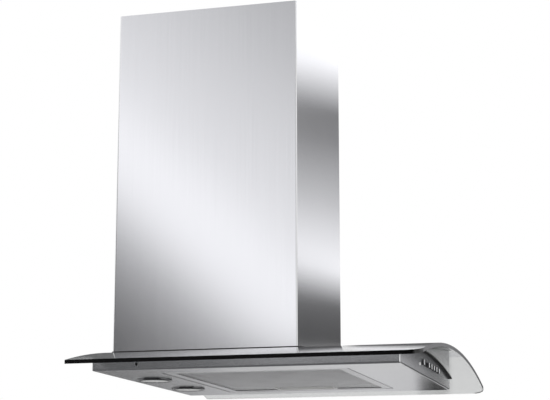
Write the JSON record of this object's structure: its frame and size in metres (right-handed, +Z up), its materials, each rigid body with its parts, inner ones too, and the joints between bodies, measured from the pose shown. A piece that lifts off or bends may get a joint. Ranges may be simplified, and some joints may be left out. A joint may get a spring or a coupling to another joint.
{
  "type": "curved glass range hood",
  "caption": "Wall-mounted range hood: arched glass canopy over a slim steel body with mesh filter, lamps and push buttons, and a telescopic square chimney.",
  "frame": {"origin": "on the wall plane, in the middle, level with the flat underside of the steel body", "axes": "+X to the right seen from the front, +Y into the wall, +Z up"},
  "size_m": [0.6, 0.46, 0.526],
  "materials": {
    "stainless": "fine horizontal brushing, satin",
    "galvanised": "galvanised sheet, faint spangle",
    "tinted_glass": "clear float glass with a grey-green tint, polished edges",
    "seal_rubber": "matte black",
    "screw_steel": "zinc-plated",
    "filter_aluminium": "satin aluminium",
    "mesh_aluminium": "expanded mesh, satin",
    "dark_plastic": "fine moulded texture",
    "pale_plastic": "fine moulded texture",
    "button_chrome": "polished",
    "frosted_lens": "frosted",
    "window_plastic": "smoked, glossy",
    "indicator_plastic": "clear dome",
    "board_green": "lacquered board",
    "motor_enamel": "black enamel",
    "lamp_bezel": "dark satin"
  },
  "bodies": {
    "hood": {"body_shell": "stainless", "chimney_cover": "stainless", "top_deck": "galvanised", "motor_box": "galvanised", "wall_bracket": "galvanised", "capacitor_clip": "galvanised", "motor_bracket": "galvanised", "lamp_cans": "filter_aluminium", "glass_canopy": "tinted_glass", "front_seal": "seal_rubber", "rear_seal": "seal_rubber", "side_seals": "seal_rubber", "glass_gasket": "seal_rubber", "glass_spacers": "seal_rubber", "motor_mounts": "seal_rubber", "glass_screws": "screw_steel", "cover_screws": "screw_steel", "bracket_screws": "screw_steel", "motor_screws": "screw_steel", "collar_screws": "screw_steel", "flap_rod": "screw_steel", "left_scroll": "dark_plastic", "right_scroll": "dark_plastic", "outlet_collar": "dark_plastic", "terminal_box": "dark_plastic", "cable_gland": "dark_plastic", "switch_housing": "dark_plastic", "filter_clips": "dark_plastic", "control_box": "pale_plastic", "control_lid": "pale_plastic", "terminal_block": "pale_plastic", "motor": "motor_enamel", "lamp_transformer": "motor_enamel", "capacitor": "pale_plastic", "left_lamp_bezel": "lamp_bezel", "right_lamp_bezel": "lamp_bezel", "left_lamp_lens": "frosted_lens", "right_lamp_lens": "frosted_lens", "lamp_bulbs": "frosted_lens", "speed_window": "window_plastic", "indicator_lens": "indicator_plastic", "switch_board": "board_green", "control_board": "board_green"},
    "upper_chimney": {"upper_cover": "stainless", "upper_bracket": "galvanised", "upper_screws": "screw_steel"},
    "impeller": {"impeller": "dark_plastic", "motor_shaft": "screw_steel"},
    "front_flap": {"front_flap": "filter_aluminium"},
    "rear_flap": {"rear_flap": "filter_aluminium"},
    "filter": {"filter_frame": "filter_aluminium", "filter_mesh": "mesh_aluminium", "filter_handle": "pale_plastic"},
    "filter_latch": {"filter_latch": "pale_plastic"},
    "button_1": {"button_1": "button_chrome"},
    "button_2": {"button_2": "button_chrome"},
    "button_3": {"button_3": "button_chrome"},
    "button_4": {"button_4": "button_chrome"},
    "button_5": {"button_5": "button_chrome"},
    "button_6": {"button_6": "button_chrome"}
  },
  "joints": [
    {"name": "upper_cover_slide", "type": "slide", "parent": "hood", "child": "upper_chimney", "axis": [0, 0, 1], "range_m": [0, 0.36]},
    {"name": "impeller_spin", "type": "hinge", "parent": "hood", "child": "impeller", "pos_m": [0, -0.109, 0.166], "axis": [1, 0, 0], "continuous": true},
    {"name": "front_flap_hinge", "type": "hinge", "parent": "hood", "child": "front_flap", "pos_m": [0, -0.13, 0.32], "axis": [-1, 0, 0], "range_deg": [0, 80]},
    {"name": "rear_flap_hinge", "type": "hinge", "parent": "hood", "child": "rear_flap", "pos_m": [0, -0.13, 0.32], "axis": [1, 0, 0], "range_deg": [0, 80]},
    {"name": "filter_hinge", "type": "hinge", "parent": "hood", "child": "filter", "pos_m": [-0.1562, -0.211, 0.0032], "axis": [0, 1, 0], "range_deg": [0, 70]},
    {"name": "latch_slide", "type": "slide", "parent": "filter", "child": "filter_latch", "axis": [-1, 0, 0], "range_m": [0, 0.0055], "stiffness_N_per_m": 300},
    {"name": "button_1_press", "type": "slide", "parent": "hood", "child": "button_1", "axis": [0, 1, 0], "range_m": [0, 0.002], "stiffness_N_per_m": 400},
    {"name": "button_2_press", "type": "slide", "parent": "hood", "child": "button_2", "axis": [0, 1, 0], "range_m": [0, 0.002], "stiffness_N_per_m": 400},
    {"name": "button_3_press", "type": "slide", "parent": "hood", "child": "button_3", "axis": [0, 1, 0], "range_m": [0, 0.002], "stiffness_N_per_m": 400},
    {"name": "button_4_press", "type": "slide", "parent": "hood", "child": "button_4", "axis": [0, 1, 0], "range_m": [0, 0.002], "stiffness_N_per_m": 400},
    {"name": "button_5_press", "type": "slide", "parent": "hood", "child": "button_5", "axis": [0, 1, 0], "range_m": [0, 0.002], "stiffness_N_per_m": 400},
    {"name": "button_6_press", "type": "slide", "parent": "hood", "child": "button_6", "axis": [0, 1, 0], "range_m": [0, 0.002], "stiffness_N_per_m": 400}
  ]
}
